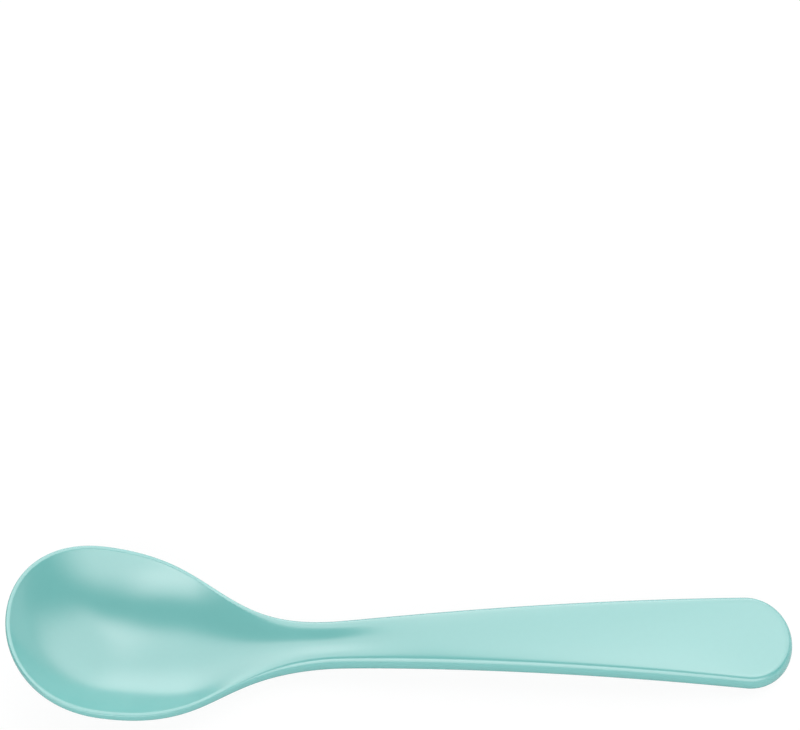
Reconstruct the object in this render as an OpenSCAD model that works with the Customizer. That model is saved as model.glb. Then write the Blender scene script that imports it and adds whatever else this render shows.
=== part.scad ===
// An egg spoon moulded in one material: an oval bowl, a troughed neck, and an arched handle with a round end.
// X runs along the spoon from the bowl's tip to the handle's end, Y runs across it, and it lies on Z = 0.
// Places along the spoon are measured from the bowl's tip.

/* [Spoon] */
// Length from the bowl's tip to the handle's end
spoon_len = 125; // [115:1:140]
// Depth by which the two places that rest on the table are flattened
rest_flat = 0.15; // [0.05:0.05:0.3]

/* [Bowl] */
// Width of the bowl across its rim
bowl_w = 30.8; // [27:0.1:35]
// Place of the bowl's greatest width
widest_at = 15.3; // [13:0.1:18]
// Depth of the hollow below the rim, above the place where the bowl rests
bowl_depth = 4.55; // [3.8:0.05:5.4]
// Thickness of the bowl's floor where it rests
bowl_wall = 1.9; // [1.5:0.1:2.5]
// Place where the bowl rests on the table
belly_at = 26.5; // [24:0.5:29]
// Height of the outer edge of the bowl's rim
rim_t = 1.65; // [1.4:0.05:2.2]
// Width of the flat on top of the rim, which turns into the border of the upper face along the handle
rim_land = 0.4; // [0.2:0.05:0.6]
// Slope of the rim, in degrees, when the spoon lies on a table
rim_tilt = 17.2; // [15:0.1:19]
// Slope of the bowl's wall at its tip, in degrees
wall_angle = 55; // [50:1:60]
// Place where the rim stops being straight and turns into the neck
rim_straight = 28; // [26:0.1:31]
// Place where the bowl ends and the neck begins
bowl_len = 41; // [38:0.5:44]

/* [Neck] */
// Width of the neck at its narrowest
neck_w = 7.8; // [7:0.1:10]
// Place of the neck's least width
neck_at = 51.5; // [49:0.5:54]
// Depth of the trough along the neck
neck_dish = 0.5; // [0.3:0.1:1]
// Place where the neck ends and the handle begins
neck_end = 58; // [56:0.5:62]

/* [Handle] */
// Width of the handle where its round end starts
handle_w = 15.7; // [13:0.1:18]
// Length of the round end
end_len = 7.5; // [5:0.1:9]
// Thickness of the handle at its edges
handle_t = 3.15; // [2.6:0.05:3.8]
// Radius of the handle's arch, seen from the side
arch_r = 326; // [280:1:400]
// Place of the top of the arch
arch_at = 78.2; // [75:0.1:83]
// Place where the arch starts, behind the bowl
arch_from = 47.4; // [45:0.1:50]
// Place where the trough runs out into the handle's upper face
trough_end = 69.5; // [64:0.5:76]
// Height by which the handle's upper face swells along its middle
handle_swell = 0.3; // [0.1:0.05:0.5]
// Depth by which the handle's underside bulges along its middle
handle_crown = 0.2; // [0:0.05:0.4]

/* [Edges] */
// Width of the upper rounding along the bowl's rim
rim_round = 0.35; // [0.25:0.05:0.6]
// Width of the upper rounding along the handle
handle_round = 0.95; // [0.6:0.05:1.4]
// Width of the lower rounding along the bowl's rim
rim_under = 0.35; // [0.2:0.05:0.6]
// Width of the lower rounding along the handle
handle_under = 0.6; // [0.4:0.05:1.2]
// Share of the edge's height that the upper rounding takes
edge_share = 0.5; // [0.35:0.01:0.65]
// Fullness of the upper rounding where it leaves the upper face
round_top = 0.85; // [0.5:0.01:0.9]
// Fullness of the upper rounding where it runs down into the side
round_side = 0.4; // [0.3:0.01:0.7]

/* [Curves] */
// Fullness of the outline at the bowl's tip
tip_full = 0.52; // [0.4:0.01:0.6]
// Fullness of the outline from the tip to the bowl's greatest width
side_full = 0.65; // [0.55:0.01:0.75]
// Fullness of the outline behind the bowl's greatest width
shoulder_full = 0.5; // [0.4:0.01:0.55]
// Fullness of the outline where it runs into the neck
neck_full = 0.52; // [0.4:0.01:0.6]
// Fullness of the handle's outline where it leaves the neck
flare_full = 0.08; // [0.05:0.01:0.2]
// Fullness of the handle's outline where it runs into the round end
taper_full = 0.25; // [0.15:0.01:0.4]
// Fullness of the sides of the handle's round end
corner_full = 0.53; // [0.45:0.01:0.65]
// Fullness of the tip of the handle's round end
end_full = 0.6; // [0.5:0.01:0.68]
// Roundness of the hollow and of the underside, where 2 is a parabola across the spoon
section_power = 2.4; // [2:0.1:2.8]

/* [Hidden] */
turquoise = [0.55, 0.82, 0.8];

// Numbers of rings along each stretch, and of steps across a section and round an edge
tip_rings = 16;
shoulder_rings = 14;
nape_rings = 6;
neck_rings = 5;
handle_rings = 14;
end_rings = 12;
cross_steps = 18;
edge_steps = 8;
search_steps = 24;

// Share of the upper rounding's width between its start and its highest line, where a border rises
crest_share = 0.35;

// Roundness of the trough's section along the neck, between two flat shoulders
trough_power = 2;

// Least run across the spoon over which a slope is worked out
least_run = 0.001;

half_bowl = bowl_w / 2;
half_neck = neck_w / 2;
half_handle = handle_w / 2;
end_at = spoon_len - end_len;
neck_gap = neck_at - widest_at;
taper_gap = end_at - neck_at;
taper = (half_handle - half_neck) / (taper_gap * (1 - flare_full / 2));
rim_slope = -tan(rim_tilt);
wall_slope = -tan(wall_angle);
last_rest = spoon_len - handle_under;
arch_top = handle_t - rest_flat + pow(last_rest - arch_at, 2) / (2 * arch_r);

// Half the outline in plan, as four cubic curves: tip to widest, widest to neck, neck to end, and round end
tip_curve = [
    [0, 0],
    [0, tip_full * half_bowl],
    [widest_at * (1 - side_full), half_bowl],
    [widest_at, half_bowl]
];
shoulder_curve = [
    [widest_at, half_bowl],
    [widest_at + shoulder_full * neck_gap, half_bowl],
    [neck_at - neck_full * neck_gap, half_neck],
    [neck_at, half_neck]
];
handle_curve = [
    [neck_at, half_neck],
    [neck_at + flare_full * taper_gap, half_neck],
    [end_at - taper_full * taper_gap, half_handle - taper * taper_full * taper_gap],
    [end_at, half_handle]
];
end_curve = [
    [end_at, half_handle],
    [end_at + corner_full * end_len, half_handle + taper * corner_full * end_len],
    [spoon_len, end_full * half_handle],
    [spoon_len, 0]
];

function mix(a, b, s) = a + (b - a) * s;

// Rises smoothly from 0 at a to 1 at b
function ease(t, a, b) =
    let (s = min(1, max(0, (t - a) / (b - a))))
    s * s * (3 - 2 * s);

function ease_slope(t, a, b) =
    let (s = min(1, max(0, (t - a) / (b - a))))
    6 * s * (1 - s) / (b - a);

// Cubic between two knots, each given as place, height and slope
function blend(t, a, b) =
    let (gap = b[0] - a[0], s = min(1, max(0, (t - a[0]) / gap)))
    mix(a[1], b[1], s * s * (3 - 2 * s))
    + gap * s * (1 - s) * (a[2] * (1 - s) - b[2] * s);

function bezier(c, u) =
    pow(1 - u, 3) * c[0] + 3 * u * pow(1 - u, 2) * c[1] + 3 * u * u * (1 - u) * c[2] + pow(u, 3) * c[3];

function bezier_way(c, u) =
    pow(1 - u, 2) * (c[1] - c[0]) + 2 * u * (1 - u) * (c[2] - c[1]) + u * u * (c[3] - c[2]);

// Share of a curve at which it reaches the place t, found by halving
function share_at(c, t, low = 0, high = 1, steps = search_steps) =
    let (middle = (low + high) / 2)
    steps == 0 ? middle
    : bezier(c, middle).x < t ? share_at(c, t, middle, high, steps - 1)
    : share_at(c, t, low, middle, steps - 1);

// Heights along the spoon: the handle's arch, the rim and upper edge, the hollow's floor, and the underside
function arch(t) = arch_top - pow(t - arch_at, 2) / (2 * arch_r);

function arch_slope(t) = (arch_at - t) / arch_r;

// Knot at the start of the arch, some way below its upper edge
function arch_knot(below) = [arch_from, arch(arch_from) - below, arch_slope(arch_from)];

function rim_line(t) = bowl_wall + bowl_depth + rim_slope * (t - belly_at);

rim_knot = [rim_straight, rim_line(rim_straight), rim_slope];

function rim(t) =
    t < rim_straight ? rim_line(t)
    : t > arch_from ? arch(t)
    : blend(t, rim_knot, arch_knot(0));

function edge_t(t) = mix(rim_t, handle_t, ease(t, rim_straight, neck_at));

// Knot on the underside at the start of the arch, where the edge still grows in height
edge_growth = (handle_t - rim_t) * ease_slope(arch_from, rim_straight, neck_at);
under_knot = arch_knot(edge_t(arch_from)) - [0, 0, edge_growth];

// Widths of the edge's upper and lower rounding, and of all that lies outside the hollow or trough
function edge_in(t) = mix(rim_round, handle_round, ease(t, rim_straight, neck_at));

function under_in(t) = mix(rim_under, handle_under, ease(t, rim_straight, neck_at));

function inner_edge(t) = edge_in(t) + rim_land;

// Share of the handle's swell and of its bulge that is left before the round end
function end_fade(t) = 1 - ease(t, end_at - handle_w, last_rest);

// Depths of the trough along the handle, and of the upper face in all, negative where the handle swells
function fading_trough(t) = neck_dish * (1 - ease(t, arch_from, trough_end));

function dish(t) = fading_trough(t) - handle_swell * end_fade(t) * ease(t, arch_from, trough_end);

function crown(t) = handle_crown * ease(t, arch_from, neck_end) * end_fade(t);

function hollow_floor(t) =
    t > arch_from ? arch(t) - dish(t)
    : t > belly_at
    ? blend(t, [belly_at, bowl_wall, 0], arch_knot(neck_dish))
    : blend(t, [inner_edge(0), rim(inner_edge(0)), wall_slope], [belly_at, bowl_wall, 0]);

function underside(t) =
    t > arch_from ? arch(t) - edge_t(t) - crown(t)
    : t > belly_at
    ? blend(t, [belly_at, -rest_flat, 0], under_knot)
    : blend(t, [tip_foot.x, rim(tip_foot.x) - tip_foot.y, wall_slope], [belly_at, -rest_flat, 0]);

// Stations along half the outline, each a point and the way in from it: square to the outline at both round
// ends, and straight across between them
function way_in(c, u) =
    let (way = bezier_way(c, u))
    [way.y, -way.x] / norm(way);

function stations(c, from, to, count, square_from, square_to) = [
    for (i = [0:count - 1])
        let (
            u = mix(from, to, i / count),
            square = mix(square_from, square_to, i / count),
            way = mix([0, -1], way_in(c, u), square)
        )
        [bezier(c, u), way / norm(way)]
];

bowl_cut = share_at(shoulder_curve, bowl_len);
neck_cut = share_at(handle_curve, neck_end);
spine = concat(
    stations(tip_curve, 0, 1, tip_rings, 1, 1),
    stations(shoulder_curve, 0, bowl_cut, shoulder_rings, 0, 0),
    stations(shoulder_curve, bowl_cut, 1, nape_rings, 0, 0),
    stations(handle_curve, 0, neck_cut, neck_rings, 0, 0),
    stations(handle_curve, neck_cut, 1, handle_rings, 0, 1),
    stations(end_curve, 0, 1, end_rings, 1, 1),
    [[[spoon_len, 0], [-1, 0]]]
);
bowl_last = tip_rings + shoulder_rings;
neck_last = bowl_last + nape_rings + neck_rings;
spine_last = len(spine) - 1;

// Angle through which the lower rounding turns before it runs into an underside of a given slope
function foot_turn(thick, low_wide, slope) = atan2(thick * (1 - edge_share), low_wide * slope);

// Point on the lower rounding, as distances in and down
function foot_at(thick, low_wide, turn) = [low_wide * (1 - cos(turn)), thick * mix(edge_share, 1, sin(turn))];

tip_slope = rim_slope - wall_slope;
tip_foot = foot_at(rim_t, rim_under, foot_turn(rim_t, rim_under, tip_slope));

// Share by which the bowl's hollow has turned into a trough between flat shoulders, and the bowl's rim into
// a border that runs on from the upper face
function follow(t) = ease(t, rim_straight, arch_from);

function trough(t, dip) = follow(t) * (t > arch_from ? fading_trough(t) : dip);

// Slope at which the upper face's border rises to the edge, with a given reach from it to the crest
function border_rise(upper, way, dip, reach) =
    let (
        run = upper.y * abs(way.y),
        share = section_power * follow(upper.x)
    )
    run > least_run ? share * dip / (run + share * reach) : 0;

// Rounded edge at one station, from the rim's flat down to the underside, as distances in and down
function edge_profile(thick, wide, low_wide, turn, rise) =
    let (
        side = thick * edge_share,
        upper_curve = [
            [wide, wide * rise * crest_share],
            [wide * (1 - round_top), wide * rise * (crest_share - round_top)],
            [0, side * (1 - round_side)],
            [0, side]
        ]
    )
    concat(
        [for (k = [0:edge_steps]) bezier(upper_curve, k / edge_steps)],
        [for (k = [1:edge_steps - 1]) foot_at(thick, low_wide, turn * k / edge_steps)]
    );

// Slope of the underside across the edge, where a full lower rounding would meet it
function foot_slope(point, way, thick, low_wide) =
    let (
        foot = point + low_wide * way,
        bulge = rim(foot.x) - thick - underside(foot.x),
        run = foot.y * abs(way.y)
    )
    run > least_run ? max(0, min(tip_slope, section_power * bulge / run))
    : point.x < belly_at ? tip_slope
    : 0;

function on_frame(t, y, z) = [t - spoon_len / 2, y, max(0, z)];

// Ring round the section at one station: upper face, one edge down, underside, and other edge up
function ring(station) =
    let (
        point = station[0],
        way = station[1],
        thick = edge_t(point.x),
        wide = edge_in(point.x),
        low_wide = under_in(point.x),
        turn = foot_turn(thick, low_wide, foot_slope(point, way, thick, low_wide)),
        foot = foot_at(thick, low_wide, turn),
        upper = point + inner_edge(point.x) * way,
        lower = point + foot.x * way,
        dip = rim(upper.x) - hollow_floor(upper.x),
        reach = rim_land + wide * crest_share,
        groove = trough(upper.x, dip),
        rise = border_rise(upper, way, dip - groove, reach),
        sink = rise * reach,
        low_edge = rim(lower.x) - foot.y,
        bulge = low_edge - underside(lower.x),
        edge = [
            for (p = edge_profile(thick, wide, low_wide, turn, rise))
                let (at = point + p[0] * way)
                [at.x, at.y, rim(at.x) - p[1]]
        ],
        sides = [for (j = [0:cross_steps]) 1 - 2 * j / cross_steps],
        fill = [for (v = sides) 1 - pow(abs(v), section_power)],
        trough_fill = [for (v = sides) pow(1 - v * v, trough_power)],
        down = [for (j = [0:cross_steps]) mix(sink, dip - groove, fill[j]) + groove * trough_fill[j]]
    )
    concat(
        [for (j = [0:cross_steps]) on_frame(upper.x, upper.y * sides[j], rim(upper.x) - down[j])],
        [for (p = edge) on_frame(p.x, -p.y, p.z)],
        [for (j = [0:cross_steps]) on_frame(lower.x, -lower.y * sides[j], low_edge - bulge * fill[j])],
        [for (k = [len(edge) - 1:-1:0]) on_frame(edge[k].x, edge[k].y, edge[k].z)]
    );

face_count = cross_steps + 1;
edge_count = 2 * edge_steps;
ring_count = 2 * (face_count + edge_count);

// Place of a point in a ring. At the two ends of the spoon the ring's sides meet, so both share one point.
function ring_place(j, meets) =
    let (k = j % ring_count)
    !meets ? k
    : k < face_count ? 0
    : k < face_count + edge_count ? ring_count - 1 - (k - face_count)
    : k < 2 * face_count + edge_count ? face_count + edge_count
    : k;

// Flat cap over a ring: strips from the upper face to the underside, and the two rounded edges
under_first = face_count + edge_count;
under_last = under_first + face_count - 1;
cap = concat(
    [for (j = [0:cross_steps - 1]) [j, j + 1, under_last - j - 1, under_last - j]],
    [[for (j = [cross_steps:under_first]) j], [for (j = [under_last:ring_count]) j % ring_count]]
);

function has_area(f) = f[0] != f[1] && f[1] != f[2] && f[2] != f[0];

// Solid between two stations of the spine
module stretch(first, last) {
    rings = [for (i = [first:last]) each ring(spine[i])];
    function at(i, j) = (i - first) * ring_count + ring_place(j, i == 0 || i == spine_last);
    skin = [
        for (i = [first:last - 1])
            for (j = [0:ring_count - 1])
                each [
                    [at(i, j), at(i + 1, j + 1), at(i, j + 1)],
                    [at(i, j), at(i + 1, j), at(i + 1, j + 1)]
                ]
    ];
    first_cap = first == 0 ? [] : [for (f = cap) [for (j = f) at(first, j)]];
    last_cap = last == spine_last ? [] : [for (f = cap) [for (k = [len(f) - 1:-1:0]) at(last, f[k])]];
    polyhedron(rings, concat([for (f = skin) if (has_area(f)) f], first_cap, last_cap));
}

module bowl() {
    color(turquoise) stretch(0, bowl_last);
}

module neck() {
    color(turquoise) stretch(bowl_last, neck_last);
}

module handle() {
    color(turquoise) stretch(neck_last, spine_last);
}

bowl();
neck();
handle();
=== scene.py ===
# An egg spoon of moulded melamine, lying on a white table among soft boxes of light.
import math

import bmesh
import bpy
from mathutils import Matrix, Vector


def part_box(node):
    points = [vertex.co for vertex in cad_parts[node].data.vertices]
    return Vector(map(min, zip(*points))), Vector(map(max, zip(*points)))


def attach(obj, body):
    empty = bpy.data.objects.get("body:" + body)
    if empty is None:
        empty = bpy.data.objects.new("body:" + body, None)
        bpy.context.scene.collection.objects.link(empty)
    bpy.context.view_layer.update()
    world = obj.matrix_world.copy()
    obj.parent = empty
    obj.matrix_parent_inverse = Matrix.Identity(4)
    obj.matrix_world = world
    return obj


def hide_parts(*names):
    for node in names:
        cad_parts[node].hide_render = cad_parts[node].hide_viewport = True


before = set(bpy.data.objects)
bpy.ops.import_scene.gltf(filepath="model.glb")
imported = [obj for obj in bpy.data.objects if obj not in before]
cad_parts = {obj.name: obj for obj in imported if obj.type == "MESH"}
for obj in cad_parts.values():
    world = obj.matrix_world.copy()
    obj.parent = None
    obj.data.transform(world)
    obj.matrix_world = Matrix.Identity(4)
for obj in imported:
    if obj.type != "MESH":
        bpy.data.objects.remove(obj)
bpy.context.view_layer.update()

MM = 0.001

# Sizes that the frame gives. Places along the spoon are measured from the bowl's tip.
bowl_low, bowl_high = (Vector(corner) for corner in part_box("bowl"))
neck_high = Vector(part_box("neck")[1])
handle_high = Vector(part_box("handle")[1])
TIP_X = bowl_low.x
SPOON_LEN = handle_high.x - bowl_low.x
BOWL_LEN = bowl_high.x - TIP_X
NECK_END = neck_high.x - TIP_X
HALF_BOWL = bowl_high.y
SPOON_TOP = max(bowl_high.z, handle_high.z)

# Edges: widths of the upper and lower roundings, the share of the edge's height that the upper one takes, and
# the share of its width between its start and its highest line, where a border rises
RIM_ROUND = 0.35 * MM
HANDLE_ROUND = 0.95 * MM
RIM_UNDER = 0.35 * MM
HANDLE_UNDER = 0.6 * MM
EDGE_SHARE = 0.5
CREST_SHARE = 0.35
RIM_LAND = 0.4 * MM
LIP_R = 0.25 * MM

# How far the flats that the spoon rests on cut into its underside
REST_FLAT = 0.15 * MM

# Bowl, with angles in degrees
WIDEST_AT = 15.3 * MM
BOWL_DEPTH = 4.55 * MM
BOWL_WALL = 1.9 * MM
BELLY_AT = 26.5 * MM
RIM_T = 1.65 * MM
RIM_TILT = 17.2
WALL_ANGLE = 55
RIM_STRAIGHT = 28 * MM
SECTION_POWER = 2.4
TROUGH_POWER = 2

# Neck
HALF_NECK = 3.9 * MM
NECK_AT = 51.5 * MM
NECK_DISH = 0.5 * MM

# Handle
HALF_HANDLE = 7.85 * MM
END_LEN = 7.5 * MM
HANDLE_T = 3.15 * MM
ARCH_R = 326 * MM
ARCH_AT = 78.2 * MM
ARCH_FROM = 47.4 * MM
TROUGH_END = 69.5 * MM
HANDLE_SWELL = 0.3 * MM
HANDLE_CROWN = 0.2 * MM

RIM_SLOPE = -math.tan(math.radians(RIM_TILT))
WALL_SLOPE = -math.tan(math.radians(WALL_ANGLE))
TIP_SLOPE = RIM_SLOPE - WALL_SLOPE
END_AT = SPOON_LEN - END_LEN
LAST_REST = SPOON_LEN - HANDLE_UNDER
FADE_FROM = END_AT - 2 * HALF_HANDLE
ARCH_TOP = HANDLE_T - REST_FLAT + (LAST_REST - ARCH_AT) ** 2 / (2 * ARCH_R)

# Fullness of the edge's upper rounding where it leaves the upper face and where it runs down into the side
ROUND_TOP = 0.85
ROUND_SIDE = 0.4

# Fullness of the outline's curves: shares of a stretch over which each keeps the way it starts or ends in
TIP_FULL = 0.52
SIDE_FULL = 0.65
SHOULDER_FULL = 0.5
NECK_FULL = 0.52
FLARE_FULL = 0.08
TAPER_FULL = 0.25
CORNER_FULL = 0.53
END_FULL = 0.6

# Half the outline in plan: tip to widest, widest to neck, neck to end, and the round end
NECK_GAP = NECK_AT - WIDEST_AT
TAPER_GAP = END_AT - NECK_AT
FLARE = FLARE_FULL * TAPER_GAP
TAPER_RUN = TAPER_FULL * TAPER_GAP
TAPER = (HALF_HANDLE - HALF_NECK) / (TAPER_GAP - FLARE / 2)
CORNER_RUN = CORNER_FULL * END_LEN
TIP_CURVE = [
    Vector((0, 0)),
    Vector((0, TIP_FULL * HALF_BOWL)),
    Vector(((1 - SIDE_FULL) * WIDEST_AT, HALF_BOWL)),
    Vector((WIDEST_AT, HALF_BOWL)),
]
SHOULDER_CURVE = [
    Vector((WIDEST_AT, HALF_BOWL)),
    Vector((WIDEST_AT + SHOULDER_FULL * NECK_GAP, HALF_BOWL)),
    Vector((NECK_AT - NECK_FULL * NECK_GAP, HALF_NECK)),
    Vector((NECK_AT, HALF_NECK)),
]
HANDLE_CURVE = [
    Vector((NECK_AT, HALF_NECK)),
    Vector((NECK_AT + FLARE, HALF_NECK)),
    Vector((END_AT - TAPER_RUN, HALF_HANDLE - TAPER * TAPER_RUN)),
    Vector((END_AT, HALF_HANDLE)),
]
END_CURVE = [
    Vector((END_AT, HALF_HANDLE)),
    Vector((END_AT + CORNER_RUN, HALF_HANDLE + TAPER * CORNER_RUN)),
    Vector((SPOON_LEN, END_FULL * HALF_HANDLE)),
    Vector((SPOON_LEN, 0)),
]

# Mesh steps along the spoon's stretches and round half of a section
TIP_STEPS = 40
SHOULDER_STEPS = 48
NAPE_STEPS = 20
NECK_STEPS = 14
HANDLE_STEPS = 90
END_STEPS = 36
HOLLOW_STEPS = 24
LIP_STEPS = 4
EDGE_STEPS = 8
BELLY_STEPS = 20

# Halvings that find a place on a curve, the least run that a slope is taken over, and the distance within
# which points of a mesh become one
HALVINGS = 40
LEAST_RUN = 0.001 * MM
MERGE = 0.002 * MM

# Name of the mesh values that say how far a place lies on the worn edge
WEAR = "edge wear"


def mix(a, b, share):
    return a + (b - a) * share


def ease(t, start, end):
    """Rises smoothly from 0 at start to 1 at end."""
    share = min(1, max(0, (t - start) / (end - start)))
    return share * share * (3 - 2 * share)


def ease_slope(t, start, end):
    share = min(1, max(0, (t - start) / (end - start)))
    return 6 * share * (1 - share) / (end - start)


def blend(t, start, end):
    """Height on the cubic between two knots, each a place, a height and a slope."""
    gap = end[0] - start[0]
    share = min(1, max(0, (t - start[0]) / gap))
    bend = start[2] * (1 - share) - end[2] * share
    return mix(start[1], end[1], share * share * (3 - 2 * share)) + gap * share * (1 - share) * bend


def curve_at(curve, share):
    left = 1 - share
    a, b, c, d = curve
    return left**3 * a + 3 * share * left**2 * b + 3 * share**2 * left * c + share**3 * d


def curve_way(curve, share):
    left = 1 - share
    a, b, c, d = curve
    return left**2 * (b - a) + 2 * share * left * (c - b) + share**2 * (d - c)


def share_at(curve, place):
    """Share of a curve at which it reaches a place along the spoon, found by halving."""
    low, high = 0.0, 1.0
    for _ in range(HALVINGS):
        middle = (low + high) / 2
        if curve_at(curve, middle).x < place:
            low = middle
        else:
            high = middle
    return (low + high) / 2


# Heights along the spoon
def arch(t):
    return ARCH_TOP - (t - ARCH_AT) ** 2 / (2 * ARCH_R)


def arch_knot(below):
    return ARCH_FROM, arch(ARCH_FROM) - below, (ARCH_AT - ARCH_FROM) / ARCH_R


def rim_line(t):
    return BOWL_WALL + BOWL_DEPTH + RIM_SLOPE * (t - BELLY_AT)


def rim(t):
    if t < RIM_STRAIGHT:
        return rim_line(t)
    if t > ARCH_FROM:
        return arch(t)
    return blend(t, (RIM_STRAIGHT, rim_line(RIM_STRAIGHT), RIM_SLOPE), arch_knot(0))


def edge_height(t):
    return mix(RIM_T, HANDLE_T, ease(t, RIM_STRAIGHT, NECK_AT))


def edge_in(t):
    return mix(RIM_ROUND, HANDLE_ROUND, ease(t, RIM_STRAIGHT, NECK_AT))


def under_in(t):
    return mix(RIM_UNDER, HANDLE_UNDER, ease(t, RIM_STRAIGHT, NECK_AT))


def end_fade(t):
    return 1 - ease(t, FADE_FROM, LAST_REST)


def fading_trough(t):
    return NECK_DISH * (1 - ease(t, ARCH_FROM, TROUGH_END))


def dish(t):
    """Depth of the upper face, which is negative where the handle swells."""
    return fading_trough(t) - HANDLE_SWELL * end_fade(t) * ease(t, ARCH_FROM, TROUGH_END)


def crown(t):
    return HANDLE_CROWN * ease(t, ARCH_FROM, NECK_END) * end_fade(t)


def hollow_floor(t):
    belly = (BELLY_AT, BOWL_WALL, 0)
    if t > ARCH_FROM:
        return arch(t) - dish(t)
    if t > BELLY_AT:
        return blend(t, belly, arch_knot(NECK_DISH))
    start = RIM_ROUND + RIM_LAND
    return blend(t, (start, rim(start), WALL_SLOPE), belly)


def foot_turn(thick, low_wide, slope):
    """Angle through which the lower rounding turns before it runs into an underside of a given slope."""
    return math.atan2(thick * (1 - EDGE_SHARE), low_wide * slope)


def foot_at(thick, low_wide, turn):
    """Distances in and down to a point on the lower rounding."""
    return low_wide * (1 - math.cos(turn)), thick * mix(EDGE_SHARE, 1, math.sin(turn))


TIP_IN, TIP_DOWN = foot_at(RIM_T, RIM_UNDER, foot_turn(RIM_T, RIM_UNDER, TIP_SLOPE))


def underside(t):
    belly = (BELLY_AT, -REST_FLAT, 0)
    if t > ARCH_FROM:
        return arch(t) - edge_height(t) - crown(t)
    if t > BELLY_AT:
        place, height, slope = arch_knot(edge_height(ARCH_FROM))
        growth = (HANDLE_T - RIM_T) * ease_slope(ARCH_FROM, RIM_STRAIGHT, NECK_AT)
        return blend(t, belly, (place, height, slope - growth))
    return blend(t, (TIP_IN, rim(TIP_IN) - TIP_DOWN, WALL_SLOPE), belly)


def foot_slope(point, inward, thick, low_wide):
    """Slope of the underside across the edge, where a full lower rounding would meet it."""
    foot = point + low_wide * inward
    run = foot.y * abs(inward.y)
    bulge = rim(foot.x) - thick - underside(foot.x)
    if run > LEAST_RUN:
        return max(0, min(TIP_SLOPE, SECTION_POWER * bulge / run))
    return TIP_SLOPE if point.x < BELLY_AT else 0


def stations(curve, start, end, steps, square_start, square_end):
    """Points along a stretch of the outline, each with the way in from it: square to the outline at the
    spoon's round ends, and straight across between them."""
    found = []
    for step in range(steps):
        share = mix(start, end, step / steps)
        way = curve_way(curve, share)
        square = Vector((way.y, -way.x)).normalized()
        across = Vector((0, -1))
        inward = across.lerp(square, mix(square_start, square_end, step / steps)).normalized()
        found.append((curve_at(curve, share), inward))
    return found


def half_section(point, inward):
    """Half of the spoon's section at one station: from the middle of the hollow over the edge to the middle
    of the underside."""
    thick = edge_height(point.x)
    wide = edge_in(point.x)
    low_wide = under_in(point.x)
    ring = []

    # The rim's flat is level on the bowl. Along the handle it runs on from the upper face, and the bowl's
    # hollow has turned into a trough between flat shoulders.
    corner = point + (wide + RIM_LAND) * inward
    dip = rim(corner.x) - hollow_floor(corner.x)
    run = abs(corner.y * inward.y)
    follow = ease(corner.x, RIM_STRAIGHT, ARCH_FROM)
    trough = follow * (fading_trough(corner.x) if corner.x > ARCH_FROM else dip)
    dip -= trough
    reach = RIM_LAND + wide * CREST_SHARE
    rise = 0
    slope = TIP_SLOPE * (point.x < BELLY_AT)
    if run > LEAST_RUN:
        share = SECTION_POWER * follow
        rise = share * dip / (run + share * reach)
        slope = SECTION_POWER * (dip - rise * reach) / run
    border = rim(corner.x) - rise * reach

    # The lip rounds off the corner between the flat and the hollow's wall.
    lip_r = LIP_R * (1 - follow)
    start = math.atan(rise)
    turn = math.atan(slope) - start
    lip_run = lip_r * math.tan(turn / 2)
    lip = []
    for step in range(LIP_STEPS + 1):
        angle = start + turn * step / LIP_STEPS
        across = lip_r * (math.sin(angle) - math.sin(start)) - lip_run * math.cos(start)
        down = lip_r * (math.cos(start) - math.cos(angle)) - lip_run * math.sin(start)
        at = corner + across * inward
        lip.append(Vector((at.x, at.y, border + rim(at.x) - rim(corner.x) - down)))

    wall = lip[-1]
    deep = wall.z - hollow_floor(wall.x) - trough
    for step in range(HOLLOW_STEPS):
        v = step / HOLLOW_STEPS
        down = deep * (1 - v**SECTION_POWER) + trough * (1 - v**2) ** TROUGH_POWER
        ring.append(Vector((wall.x, wall.y * v, wall.z - down)))
    ring += reversed(lip)

    # The outer edge: upper rounding, then lower rounding as far as the underside
    side = thick * EDGE_SHARE
    upper_curve = [
        Vector((wide, wide * rise * CREST_SHARE)),
        Vector((wide * (1 - ROUND_TOP), wide * rise * (CREST_SHARE - ROUND_TOP))),
        Vector((0, side * (1 - ROUND_SIDE))),
        Vector((0, side)),
    ]
    edge = [curve_at(upper_curve, step / EDGE_STEPS) for step in range(EDGE_STEPS + 1)]
    last_turn = foot_turn(thick, low_wide, foot_slope(point, inward, thick, low_wide))
    for step in range(1, EDGE_STEPS + 1):
        edge.append(foot_at(thick, low_wide, last_turn * step / EDGE_STEPS))
    for inside, down in edge:
        at = point + inside * inward
        ring.append(Vector((at.x, at.y, rim(at.x) - down)))

    foot = ring[-1]
    bulge = foot.z - underside(foot.x)
    for step in range(BELLY_STEPS - 1, -1, -1):
        v = step / BELLY_STEPS
        ring.append(Vector((foot.x, foot.y * v, foot.z - bulge * (1 - v**SECTION_POWER))))
    return [Vector((p.x + TIP_X, p.y, min(SPOON_TOP, max(0, p.z)))) for p in ring]


def spoon_sections():
    """Half sections along the whole spoon, and the first and last of each stretch."""
    bowl_cut = share_at(SHOULDER_CURVE, BOWL_LEN)
    neck_cut = share_at(HANDLE_CURVE, NECK_END)
    bowl = stations(TIP_CURVE, 0, 1, TIP_STEPS, 1, 1)
    bowl += stations(SHOULDER_CURVE, 0, bowl_cut, SHOULDER_STEPS, 0, 0)
    neck = stations(SHOULDER_CURVE, bowl_cut, 1, NAPE_STEPS, 0, 0)
    neck += stations(HANDLE_CURVE, 0, neck_cut, NECK_STEPS, 0, 0)
    handle = stations(HANDLE_CURVE, neck_cut, 1, HANDLE_STEPS, 0, 1)
    handle += stations(END_CURVE, 0, 1, END_STEPS, 1, 1)
    handle.append((Vector((SPOON_LEN, 0)), Vector((-1, 0))))
    spans = {
        "bowl": bowl + neck[:1],
        "neck": neck + handle[:1],
        "handle": handle,
    }
    return {name: [half_section(*station) for station in span] for name, span in spans.items()}


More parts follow.
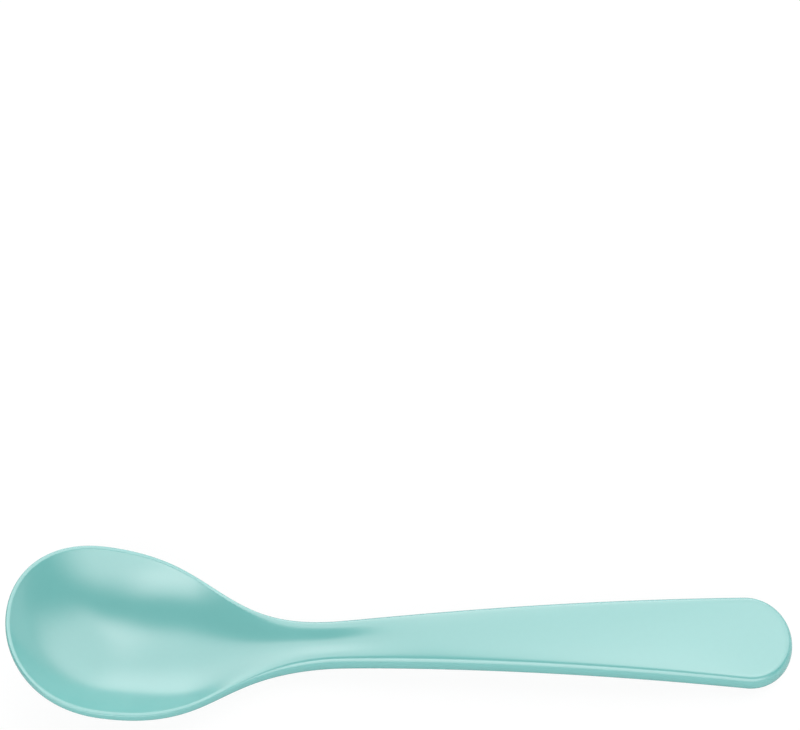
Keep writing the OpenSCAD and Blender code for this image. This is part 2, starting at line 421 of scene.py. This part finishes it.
def moulded_stretch(name, sections):
    """One stretch of the moulding: a grid wrapped over half of it, mirrored, and capped where it is cut."""
    bm = bmesh.new()
    along = len(sections) - 1
    around = len(sections[0]) - 1
    bmesh.ops.create_grid(bm, x_segments=along, y_segments=around, size=1)
    wear = bm.verts.layers.float.new(WEAR)
    for vert in bm.verts:
        station = round((vert.co.x + 1) / 2 * along)
        place = round((vert.co.y + 1) / 2 * around)
        vert.co = sections[station][place]
        share = (place - HOLLOW_STEPS - LIP_STEPS) / (2 * EDGE_STEPS)
        vert[wear] = math.sin(math.pi * share) if 0 < share < 1 else 0
    bmesh.ops.remove_doubles(bm, verts=bm.verts, dist=MERGE)
    bmesh.ops.mirror(bm, geom=bm.verts[:] + bm.edges[:] + bm.faces[:], axis="Y", merge_dist=MERGE)
    bmesh.ops.remove_doubles(bm, verts=bm.verts, dist=MERGE)
    cut = [edge for edge in bm.edges if edge.is_boundary]
    bmesh.ops.holes_fill(bm, edges=cut, sides=0)
    for edge in cut:
        edge.smooth = False
    bmesh.ops.recalc_face_normals(bm, faces=bm.faces)
    for face in bm.faces:
        face.smooth = True
    mesh = bpy.data.meshes.new(name)
    bm.to_mesh(mesh)
    bm.free()
    piece = bpy.data.objects.new(name, mesh)
    bpy.context.collection.objects.link(piece)
    return piece


# Finish: its colour, its satin, its gloss, and the strength and depth of the moulded waviness
TURQUOISE = (0.143, 0.425, 0.406, 1)
SATIN = 0.22
GLOSS_IOR = 1.85
WAVE_STRENGTH = 0.02
WAVE_DEPTH = 0.05 * MM

# The grain's noises: a fine mottle and a wide cloud
FINE_DETAIL = 4.0
FINE_ROUGHNESS = 0.6
CLOUD_SCALE = 70.0
CLOUD_DETAIL = 3.0
CLOUD_ROUGHNESS = 0.5


def node_group(name, inputs, outputs):
    """An empty shader group with the named sockets, and its input and output nodes."""
    tree = bpy.data.node_groups.new(name, "ShaderNodeTree")
    for label, kind, default in inputs:
        socket = tree.interface.new_socket(label, in_out="INPUT", socket_type=kind)
        socket.default_value = default
    for label, kind in outputs:
        tree.interface.new_socket(label, in_out="OUTPUT", socket_type=kind)
    return tree, tree.nodes.new("NodeGroupInput"), tree.nodes.new("NodeGroupOutput")


def add_node(tree, kind, links=(), **settings):
    """A node with its settings, and with the named or numbered inputs linked or set."""
    made = tree.nodes.new(kind)
    for key, value in settings.items():
        setattr(made, key, value)
    for socket, value in links:
        if isinstance(value, bpy.types.NodeSocket):
            tree.links.new(value, made.inputs[socket])
        else:
            made.inputs[socket].default_value = value
    return made


def moulded_grain_group():
    """Fine pigment mottle, a satin that varies, and the shallow waviness of a moulded face."""
    tree, given, result = node_group(
        "moulded grain",
        [
            ("Mottle Scale", "NodeSocketFloat", 900.0),
            ("Mottle Depth", "NodeSocketFloat", 0.04),
            ("Colour", "NodeSocketColor", (1, 1, 1, 1)),
            ("Satin", "NodeSocketFloat", 0.3),
            ("Satin Spread", "NodeSocketFloat", 0.05),
            ("Edge Wear", "NodeSocketFloat", 0.0),
            ("Edge Polish", "NodeSocketFloat", 0.03),
        ],
        [("Colour", "NodeSocketColor"), ("Roughness", "NodeSocketFloat"), ("Height", "NodeSocketFloat")],
    )
    place = add_node(tree, "ShaderNodeTexCoord").outputs["Object"]
    fine = add_node(
        tree,
        "ShaderNodeTexNoise",
        [
            ("Vector", place),
            ("Scale", given.outputs["Mottle Scale"]),
            ("Detail", FINE_DETAIL),
            ("Roughness", FINE_ROUGHNESS),
        ],
    ).outputs["Fac"]
    cloud = add_node(
        tree,
        "ShaderNodeTexNoise",
        [("Vector", place), ("Scale", CLOUD_SCALE), ("Detail", CLOUD_DETAIL), ("Roughness", CLOUD_ROUGHNESS)],
    ).outputs["Fac"]
    both = add_node(tree, "ShaderNodeMath", [(0, fine), (1, cloud)], operation="ADD").outputs[0]
    swing = add_node(tree, "ShaderNodeMath", [(0, both), (1, 1.0)], operation="SUBTRACT").outputs[0]
    depth = given.outputs["Mottle Depth"]
    change = add_node(tree, "ShaderNodeMath", [(0, swing), (1, depth), (2, 1.0)], operation="MULTIPLY_ADD")
    colour = add_node(
        tree,
        "ShaderNodeVectorMath",
        [(0, given.outputs["Colour"]), (1, change.outputs[0])],
        operation="MULTIPLY",
    )
    tree.links.new(colour.outputs[0], result.inputs["Colour"])
    spread = given.outputs["Satin Spread"]
    satin = given.outputs["Satin"]
    rough = add_node(tree, "ShaderNodeMath", [(0, swing), (1, spread), (2, satin)], operation="MULTIPLY_ADD")
    polish = add_node(
        tree,
        "ShaderNodeMath",
        [(0, given.outputs["Edge Wear"]), (1, given.outputs["Edge Polish"])],
        operation="MULTIPLY",
    )
    worn = add_node(
        tree,
        "ShaderNodeMath",
        [(0, rough.outputs[0]), (1, polish.outputs[0])],
        operation="SUBTRACT",
    )
    tree.links.new(worn.outputs[0], result.inputs["Roughness"])
    tree.links.new(both, result.inputs["Height"])
    return tree


def melamine():
    finish = bpy.data.materials.new("turquoise melamine")
    finish.use_nodes = True
    tree = finish.node_tree
    shader = tree.nodes["Principled BSDF"]
    grain = add_node(tree, "ShaderNodeGroup", node_tree=moulded_grain_group())
    grain.inputs["Colour"].default_value = TURQUOISE
    grain.inputs["Satin"].default_value = SATIN
    shader.inputs["IOR"].default_value = GLOSS_IOR
    edge = add_node(tree, "ShaderNodeAttribute", attribute_name=WEAR)
    tree.links.new(edge.outputs["Fac"], grain.inputs["Edge Wear"])
    tree.links.new(grain.outputs["Colour"], shader.inputs["Base Color"])
    tree.links.new(grain.outputs["Roughness"], shader.inputs["Roughness"])
    bump = add_node(
        tree,
        "ShaderNodeBump",
        [("Strength", WAVE_STRENGTH), ("Distance", WAVE_DEPTH), ("Height", grain.outputs["Height"])],
    )
    tree.links.new(bump.outputs["Normal"], shader.inputs["Normal"])
    return finish


# Table and light
TABLE_HALF = 3.0
TABLE_DROP = 0.02 * MM

# The table is white to the camera, and sends a greyer light back to the spoon. Both balance the warm lamps.
# Most of what the camera sees of it is plain white, and the rest carries the spoon's shadow.
PLAIN_WHITE = 0.92
WHITE_TABLE = (0.9, 0.98, 0.98, 1)
GREY_TABLE = (0.54, 0.62, 0.62, 1)

# Numbers of a mix node's colour sockets
MIX_FROM = 6
MIX_TO = 7
MIX_RESULT = 2


def white_table():
    bm = bmesh.new()
    bmesh.ops.create_grid(bm, x_segments=1, y_segments=1, size=TABLE_HALF)
    bmesh.ops.translate(bm, verts=bm.verts, vec=(0, 0, -TABLE_DROP))
    mesh = bpy.data.meshes.new("table")
    bm.to_mesh(mesh)
    bm.free()
    table = bpy.data.objects.new("table", mesh)
    bpy.context.collection.objects.link(table)
    paper = bpy.data.materials.new("white paper")
    paper.use_nodes = True
    tree = paper.node_tree
    tree.nodes.clear()
    ray = add_node(tree, "ShaderNodeLightPath").outputs["Is Camera Ray"]
    share = add_node(tree, "ShaderNodeMath", [(0, ray), (1, PLAIN_WHITE)], operation="MULTIPLY").outputs[0]
    tone = add_node(tree, "ShaderNodeMix", [("Factor", ray)], data_type="RGBA")
    tone.inputs[MIX_FROM].default_value = GREY_TABLE
    tone.inputs[MIX_TO].default_value = WHITE_TABLE
    matt = add_node(tree, "ShaderNodeBsdfDiffuse", [("Color", tone.outputs[MIX_RESULT])]).outputs[0]
    glow = add_node(tree, "ShaderNodeEmission", [("Color", (1, 1, 1, 1)), ("Strength", 1.0)]).outputs[0]
    both = add_node(tree, "ShaderNodeMixShader", [(0, share), (1, matt), (2, glow)]).outputs[0]
    add_node(tree, "ShaderNodeOutputMaterial", [("Surface", both)])
    mesh.materials.append(paper)
    return table


# A soft box lights only the half of the sky that it stands in.
LEAST_AHEAD = 0.02


def soft_box(tree, way, azimuth, elevation, half_wide, half_high, fade, radiance):
    """Brightness of a large soft box in the studio's sky, which fades out round its border. Azimuth 0 stands
    behind the spoon, seen from the camera."""
    side = math.radians(azimuth)
    lift = math.radians(elevation)
    middle = Vector((math.sin(side) * math.cos(lift), math.cos(side) * math.cos(lift), math.sin(lift)))
    across = Vector((math.cos(side), -math.sin(side), 0))

    def along(axis):
        dot = add_node(tree, "ShaderNodeVectorMath", [(0, way), (1, axis)], operation="DOT_PRODUCT")
        return dot.outputs["Value"]

    ahead = along(middle)
    facing = add_node(tree, "ShaderNodeMath", [(0, ahead), (1, LEAST_AHEAD)], operation="GREATER_THAN")
    level = facing.outputs[0]
    for axis, half in ((across, half_wide), (across.cross(middle), half_high)):
        off = add_node(tree, "ShaderNodeMath", [(0, along(axis))], operation="ABSOLUTE").outputs[0]
        angle = add_node(tree, "ShaderNodeMath", [(0, off), (1, ahead)], operation="ARCTAN2").outputs[0]
        border = [
            ("Value", angle),
            ("From Min", math.radians(half * (1 - fade))),
            ("From Max", math.radians(half * (1 + fade))),
            ("To Min", 1.0),
            ("To Max", 0.0),
        ]
        window = add_node(tree, "ShaderNodeMapRange", border, interpolation_type="SMOOTHSTEP").outputs[0]
        level = add_node(tree, "ShaderNodeMath", [(0, level), (1, window)], operation="MULTIPLY").outputs[0]
    return add_node(tree, "ShaderNodeMath", [(0, level), (1, radiance)], operation="MULTIPLY").outputs[0]


# Soft boxes: a large one behind the spoon, one in front, and three smaller ones that even them out. Each has
# its azimuth, elevation, half width and half height in degrees, the share of the halves over which it fades,
# and its radiance.
SOFT_BOXES = [
    (20, 43, 49, 38, 0.27, 2.3),
    (180, 17, 48, 33, 0.45, 2.75),
    (47, 71, 15, 13, 0.6, 1.3),
    (1, 23, 17, 22, 0.5, 1.0),
    (192, 50, 16, 12, 0.6, 2.3),
]
LAMP_COLOUR = (1.0, 0.91, 0.91, 1)


def studio():
    world = bpy.data.worlds.new("studio")
    bpy.context.scene.world = world
    world.use_nodes = True
    tree = world.node_tree
    tree.nodes.clear()
    way = add_node(tree, "ShaderNodeTexCoord").outputs["Generated"]
    level = soft_box(tree, way, *SOFT_BOXES[0])
    for box in SOFT_BOXES[1:]:
        more = soft_box(tree, way, *box)
        level = add_node(tree, "ShaderNodeMath", [(0, level), (1, more)], operation="ADD").outputs[0]
    lit = add_node(tree, "ShaderNodeBackground", [("Color", LAMP_COLOUR), ("Strength", level)]).outputs[0]
    white = add_node(tree, "ShaderNodeBackground", [("Color", (1, 1, 1, 1)), ("Strength", 1.0)]).outputs[0]
    ray = add_node(tree, "ShaderNodeLightPath").outputs["Is Camera Ray"]
    both = add_node(tree, "ShaderNodeMixShader", [(0, ray), (1, lit), (2, white)]).outputs[0]
    add_node(tree, "ShaderNodeOutputWorld", [("Surface", both)])


# View: the photograph's frame in pixels, where the spoon's middle falls in it, and the angles seen from
FRAME_W = 800
FRAME_H = 730
MIDDLE_PX = (400.743, 639.884)
LENS_PX = 4994.8
SENSOR_W = 36.0
VIEW_ELEVATION = math.radians(61)
VIEW_TURN = math.radians(-6)
VIEW_ROLL = math.radians(-6.122)
VIEW_DISTANCE = 0.8
VIEW_MIDDLE = Vector((0, 0, 5 * MM))


def place_camera():
    lens = bpy.data.cameras.new("camera")
    lens.sensor_width = SENSOR_W
    lens.sensor_fit = "HORIZONTAL"
    lens.lens = LENS_PX * SENSOR_W / FRAME_W
    ahead = Vector((math.sin(VIEW_TURN), math.cos(VIEW_TURN), 0)) * math.cos(VIEW_ELEVATION)
    ahead.z = -math.sin(VIEW_ELEVATION)
    camera = bpy.data.objects.new("camera", lens)
    camera.location = VIEW_MIDDLE - VIEW_DISTANCE * ahead
    pitch = math.atan2(MIDDLE_PX[1] - FRAME_H / 2, LENS_PX)
    pan = math.atan2(MIDDLE_PX[0] - FRAME_W / 2, LENS_PX)
    facing = ahead.to_track_quat("-Z", "Y").to_matrix()
    rolled = facing @ Matrix.Rotation(VIEW_ROLL, 3, "Z")
    turned = rolled @ Matrix.Rotation(pitch, 3, "X") @ Matrix.Rotation(pan, 3, "Y")
    camera.rotation_euler = turned.to_euler()
    bpy.context.collection.objects.link(camera)
    bpy.context.scene.camera = camera


finish = melamine()
for stretch, sections in spoon_sections().items():
    moulding = moulded_stretch(stretch + "_moulding", sections)
    moulding.data.materials.append(finish)
    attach(moulding, "root")
    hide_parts(stretch)

white_table()
studio()
place_camera()
bpy.context.scene.view_settings.view_transform = "Standard"
